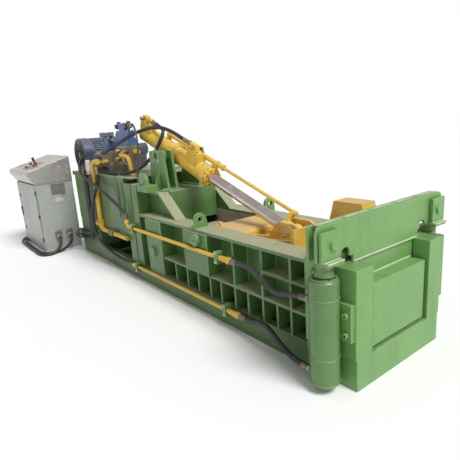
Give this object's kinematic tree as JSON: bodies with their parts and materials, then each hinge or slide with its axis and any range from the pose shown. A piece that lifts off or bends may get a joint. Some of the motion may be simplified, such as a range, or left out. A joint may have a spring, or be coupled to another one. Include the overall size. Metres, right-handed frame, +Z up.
{
  "type": "recycling baler",
  "caption": "Horizontal scrap-metal baling press with a hinged lid, lifting gate, main ram, oil tank with power unit, hoses and a control desk.",
  "frame": {"origin": "on the floor, on the machine's centreline, below the axes of the two gate cylinders", "axes": "+X along the press box towards the gate, +Y across it, away from the hose side, +Z up"},
  "size_m": [5.5551, 1.5686, 1.5982],
  "materials": {
    "green_paint": "satin",
    "yellow_paint": "satin",
    "grey_paint": "satin",
    "blue_paint": "satin",
    "dark_paint": "satin",
    "chrome": "polished",
    "bare_steel": "dull",
    "screw_steel": "dull",
    "rubber": "matte",
    "beige_plastic": "matte",
    "black_plastic": "matte",
    "orange_plastic": "gloss",
    "red_plastic": "gloss",
    "worn_steel": "worn"
  },
  "bodies": {
    "root": {"base_frame": "green_paint", "gate_frame": "green_paint", "press_floor": "worn_steel", "near_wall": "green_paint", "far_wall": "green_paint", "side_liners": "worn_steel", "rear_housing": "green_paint", "near_trunnion_stand": "green_paint", "far_trunnion_stand": "green_paint", "lifting_lugs": "green_paint", "upper_pipe": "yellow_paint", "lower_pipe": "yellow_paint", "pipe_clamps": "green_paint", "near_gate_barrel": "green_paint", "far_gate_barrel": "green_paint", "gate_brackets": "green_paint", "bracket_screws": "screw_steel", "main_cylinder": "green_paint", "oil_tank": "green_paint", "motor_body": "blue_paint", "fan_cover": "dark_paint", "pump": "dark_paint", "manifold": "bare_steel", "directional_valves": "blue_paint", "solenoids": "black_plastic", "return_pipe": "yellow_paint", "oil_filter": "beige_plastic", "desk_body": "grey_paint", "control_panel": "grey_paint", "lid_hinge_pin": "bare_steel", "lock_housing": "yellow_paint", "gate_hose_upper": "rubber", "gate_hose_lower": "rubber", "feed_hose_upper": "rubber", "feed_hose_lower": "rubber", "suction_hose_a": "rubber", "suction_hose_b": "rubber", "lid_hose_front": "rubber", "lid_hose_rear": "rubber", "desk_cable_a": "rubber", "desk_cable_b": "rubber"},
    "lid": {"lid": "yellow_paint", "clevis_pins": "yellow_paint"},
    "lid_barrel": {"lid_barrel": "yellow_paint", "guide_tube": "yellow_paint"},
    "lid_rod": {"lid_rod": "chrome", "travel_rod": "yellow_paint"},
    "gate": {"crossbeam": "green_paint", "door": "green_paint", "gate_rods": "chrome", "gate_pins": "bare_steel"},
    "ram": {"ram_head": "worn_steel", "ram_rod": "chrome"},
    "rotor": {"motor_rotor": "bare_steel"},
    "lever": {"valve_lever": "yellow_paint"},
    "desk_door": {"desk_door": "grey_paint"},
    "start_button": {"start_button": "orange_plastic"},
    "stop_button": {"stop_button": "black_plastic"},
    "emergency_stop": {"emergency_stop": "red_plastic"},
    "joystick": {"joystick": "black_plastic"}
  },
  "joints": [
    {"name": "lid_hinge", "type": "hinge", "parent": "root", "child": "lid", "pos_m": [-1.32, 0, 0.605], "axis": [0, -1, 0], "range_deg": [0, 80]},
    {"name": "barrel_hinge", "type": "hinge", "parent": "root", "child": "lid_barrel", "pos_m": [-2.215, 0, 1.206], "axis": [0, -1, 0], "range_deg": [0, 20.81], "deforming": ["lid_hose_front", "lid_hose_rear"]},
    {"name": "rod_slide", "type": "slide", "parent": "lid_barrel", "child": "lid_rod", "axis": [-0.9423, 0, 0.3346], "range_m": [0, 0.667]},
    {"name": "gate_lift", "type": "slide", "parent": "root", "child": "gate", "axis": [0, 0, 1], "range_m": [0, 0.4]},
    {"name": "ram_slide", "type": "slide", "parent": "root", "child": "ram", "axis": [1, 0, 0], "range_m": [0, 1.2]},
    {"name": "motor_spin", "type": "hinge", "parent": "root", "child": "rotor", "pos_m": [-3.705, 0, 1.213], "axis": [0, 1, 0], "continuous": true},
    {"name": "lever_turn", "type": "hinge", "parent": "root", "child": "lever", "pos_m": [-3.262, -0.5, 0.474], "axis": [0, 1, 0], "range_deg": [0, 90]},
    {"name": "desk_door_hinge", "type": "hinge", "parent": "root", "child": "desk_door", "pos_m": [-4.28, -0.852, 0.46], "axis": [0, 0, 1], "range_deg": [0, 100]},
    {"name": "start_press", "type": "slide", "parent": "root", "child": "start_button", "axis": [0, 0.2776, -0.9607], "range_m": [0, 0.006], "stiffness_N_per_m": 300},
    {"name": "stop_press", "type": "slide", "parent": "root", "child": "stop_button", "axis": [0, 0.2776, -0.9607], "range_m": [0, 0.006], "stiffness_N_per_m": 300},
    {"name": "emergency_stop_press", "type": "slide", "parent": "root", "child": "emergency_stop", "axis": [0, 0.2776, -0.9607], "range_m": [0, 0.008], "stiffness_N_per_m": 300},
    {"name": "joystick_tilt", "type": "hinge", "parent": "root", "child": "joystick", "pos_m": [-4.64, -0.7, 1.09554], "axis": [1, 0, 0], "range_deg": [-14, 14], "stiffness_Nm_per_rad": 2}
  ],
  "couplings": [
    {"joint": "barrel_hinge", "follows": "lid_hinge", "ratio": 0.26001},
    {"joint": "rod_slide", "follows": "lid_hinge", "m_per_rad": 0.47759}
  ]
}
